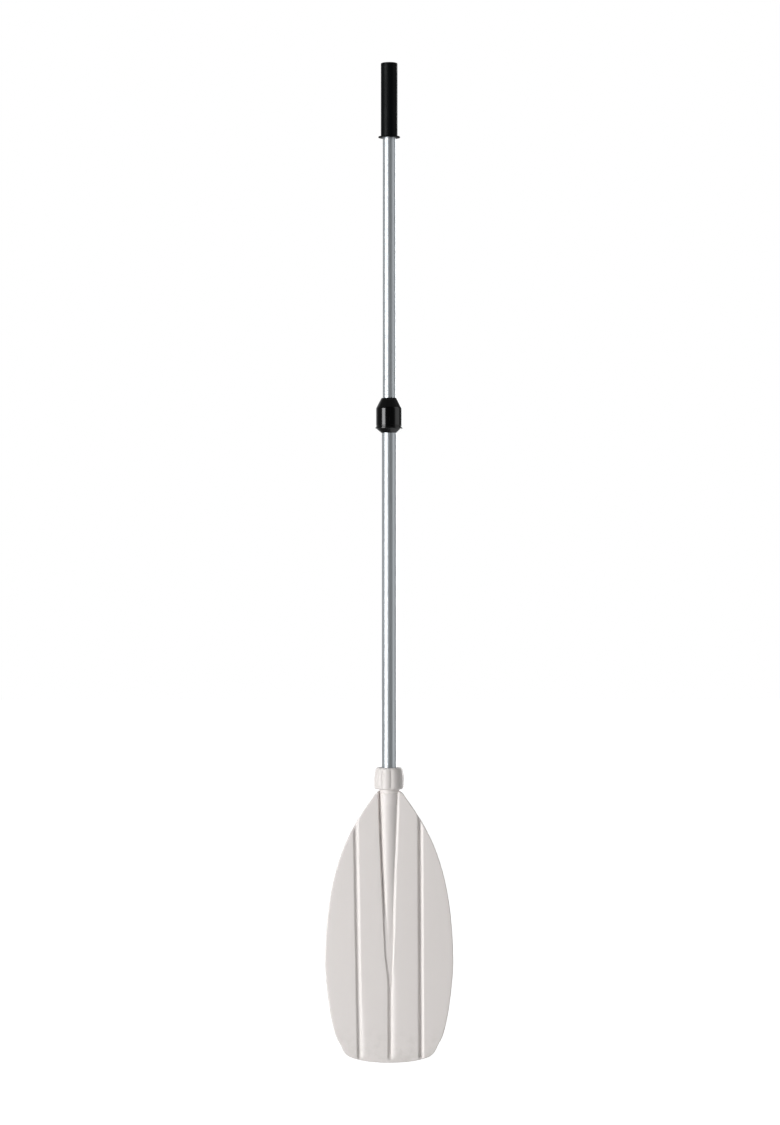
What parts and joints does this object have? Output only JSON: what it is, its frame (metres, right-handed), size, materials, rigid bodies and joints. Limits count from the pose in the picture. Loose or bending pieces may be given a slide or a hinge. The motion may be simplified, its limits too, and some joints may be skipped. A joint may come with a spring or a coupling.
{
  "type": "telescopic rowing oar",
  "caption": "Telescopic rowing oar: aluminium tube shaft with a twist-lock nut, black grip, and a moulded plastic blade held by a fluted clamp nut.",
  "frame": {"origin": "lowest point of the blade's tip, on the shaft's axis", "axes": "+Z along the shaft from the blade to the handle end, -Y out of the blade's front face, +X across the blade"},
  "size_m": [0.218, 0.0512, 1.7],
  "materials": {
    "blade_plastic": "satin moulded",
    "nut_white_plastic": "satin moulded",
    "acetal": "smooth",
    "grey_plastic": "moulded",
    "aluminium_tube": "bright drawn, clear anodised",
    "aluminium_rivet": "plain",
    "foam": "closed-cell foam",
    "black_nylon": "glossy moulded",
    "grip_black": "soft satin"
  },
  "bodies": {
    "blade": {"blade": "blade_plastic"},
    "blade_washer": {"blade_thrust_washer": "acetal"},
    "blade_nut": {"blade_nut": "nut_white_plastic"},
    "blade_ring": {"blade_clamp_ring": "grey_plastic"},
    "lower_shaft": {"lower_tube": "aluminium_tube", "lower_end_plug": "grey_plastic", "lower_float": "foam", "lock_sleeve": "black_nylon"},
    "lock_washer": {"lock_thrust_washer": "acetal"},
    "lock_nut": {"lock_nut": "black_nylon"},
    "lock_ring": {"lock_collet": "acetal"},
    "upper_shaft": {"upper_tube": "aluminium_tube", "guide_plug": "acetal", "guide_plug_rivet": "aluminium_rivet", "top_plug": "grey_plastic", "grip": "grip_black"}
  },
  "joints": [
    {"name": "blade_nut_rise", "type": "slide", "parent": "blade", "child": "blade_washer", "axis": [0, 0, 1], "range_m": [0, 0.004]},
    {"name": "blade_nut_turn", "type": "hinge", "parent": "blade_washer", "child": "blade_nut", "pos_m": [0, 0, 0.48], "axis": [0, 0, 1], "range_deg": [0, 360]},
    {"name": "blade_feather", "type": "hinge", "parent": "blade", "child": "blade_ring", "pos_m": [0, 0, 0.48], "axis": [0, 0, 1], "continuous": true},
    {"name": "shaft_pull_out", "type": "slide", "parent": "blade_ring", "child": "lower_shaft", "axis": [0, 0, 1], "range_m": [0, 0.11]},
    {"name": "lock_nut_rise", "type": "slide", "parent": "lower_shaft", "child": "lock_washer", "axis": [0, 0, 1], "range_m": [0, 0.004]},
    {"name": "lock_nut_turn", "type": "hinge", "parent": "lock_washer", "child": "lock_nut", "pos_m": [0, 0, 1.1], "axis": [0, 0, 1], "range_deg": [0, 360]},
    {"name": "handle_twist", "type": "hinge", "parent": "lower_shaft", "child": "lock_ring", "pos_m": [0, 0, 1.12], "axis": [0, 0, 1], "continuous": true},
    {"name": "telescope", "type": "slide", "parent": "lock_ring", "child": "upper_shaft", "axis": [0, 0, 1], "range_m": [-0.438, 0.04]}
  ],
  "couplings": [
    {"joint": "blade_nut_turn", "follows": "blade_nut_rise", "rad_per_m": 1570.8},
    {"joint": "lock_nut_turn", "follows": "lock_nut_rise", "rad_per_m": 1570.8}
  ]
}
